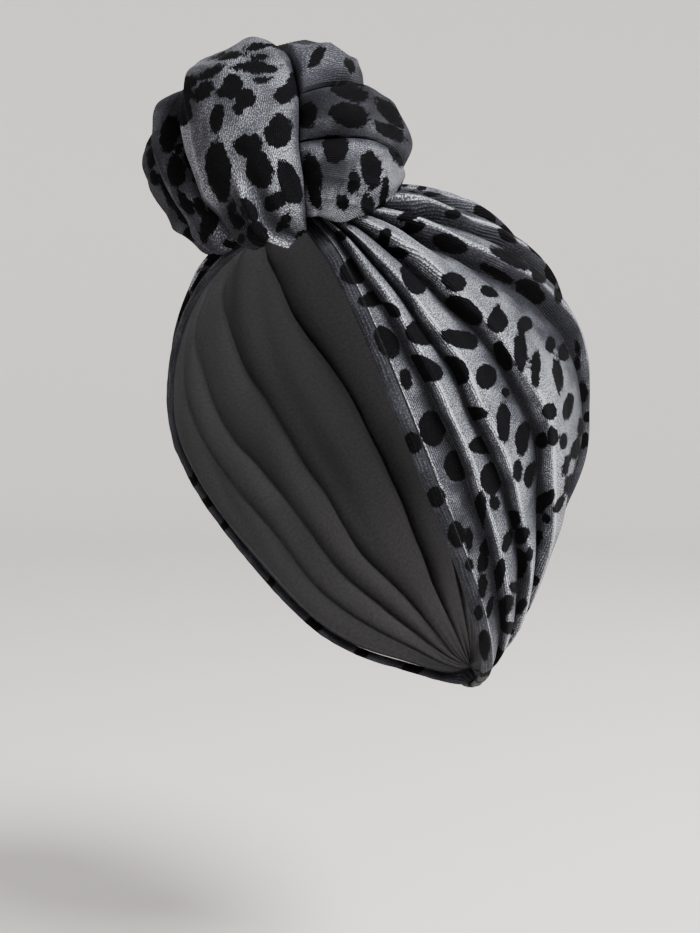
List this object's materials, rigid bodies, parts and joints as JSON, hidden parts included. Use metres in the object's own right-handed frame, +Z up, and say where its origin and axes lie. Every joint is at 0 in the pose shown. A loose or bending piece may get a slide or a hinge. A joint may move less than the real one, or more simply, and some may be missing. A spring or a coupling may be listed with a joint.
{
  "type": "turban headwrap",
  "caption": "Pre-tied velvet turban: an open-faced cap of pleats fanned from a large wound knot over the brow to a gathered point at the nape, with a rolled hem round the face.",
  "frame": {"origin": "inside top of the crown, where the wrap sits on the head", "axes": "+Z up, -Y towards the brow, +X towards the wearer's left"},
  "size_m": [0.1723, 0.218, 0.285],
  "materials": {
    "velvet_cap": "stretch velvet, silver grey with black leopard spots",
    "velvet_hem": "stretch velvet, fine ribs along the rolled edge",
    "velvet_knot": "stretch velvet, silver grey with large black leopard spots"
  },
  "bodies": {
    "root": {"pleated_cap": "velvet_cap", "face_hem": "velvet_hem", "knot_front_loop": "velvet_knot", "knot_side_loop": "velvet_knot", "knot_under_loop": "velvet_knot", "knot_lower_roll": "velvet_knot", "knot_upper_roll": "velvet_knot", "knot_top_tuck": "velvet_knot"}
  },
  "joints": []
}
